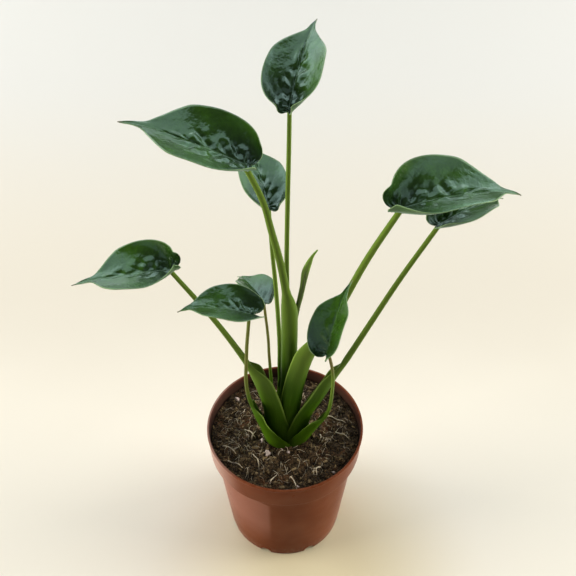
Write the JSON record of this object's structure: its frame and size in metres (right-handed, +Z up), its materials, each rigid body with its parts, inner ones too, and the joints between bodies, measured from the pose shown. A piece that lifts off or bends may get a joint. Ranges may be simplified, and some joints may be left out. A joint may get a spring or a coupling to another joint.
{
  "type": "potted alocasia",
  "caption": "Small potted alocasia with heart-shaped glossy leaves on long sheathed stalks, a rolled new leaf and soil in a tapered plastic nursery pot.",
  "frame": {"origin": "centre of the pot's flat foot, on the surface it stands on", "axes": "+Z up along the pot's axis, -Y towards the viewer of the picture, +X to the viewer's right"},
  "size_m": [0.2676, 0.1428, 0.3974],
  "materials": {
    "pot": "satin",
    "soil": "matte",
    "corm": "matte",
    "stalks": "satin",
    "blades": "satin",
    "new_leaf": "satin"
  },
  "bodies": {
    "root": {"pot": "pot", "soil": "soil", "corm": "corm", "stalk_top": "stalks", "stalk_large_left": "stalks", "stalk_back": "stalks", "stalk_large_right": "stalks", "stalk_middle_left": "stalks", "stalk_second_right": "stalks", "stalk_lower_left": "stalks", "stalk_small_front": "stalks", "stalk_small_back": "stalks", "blade_top": "blades", "blade_large_left": "blades", "blade_back": "blades", "blade_middle_left": "blades", "blade_lower_left": "blades", "blade_small_back": "blades", "blade_large_right": "blades", "blade_second_right": "blades", "blade_small_front": "blades", "rolled_new_leaf": "new_leaf"}
  },
  "joints": []
}
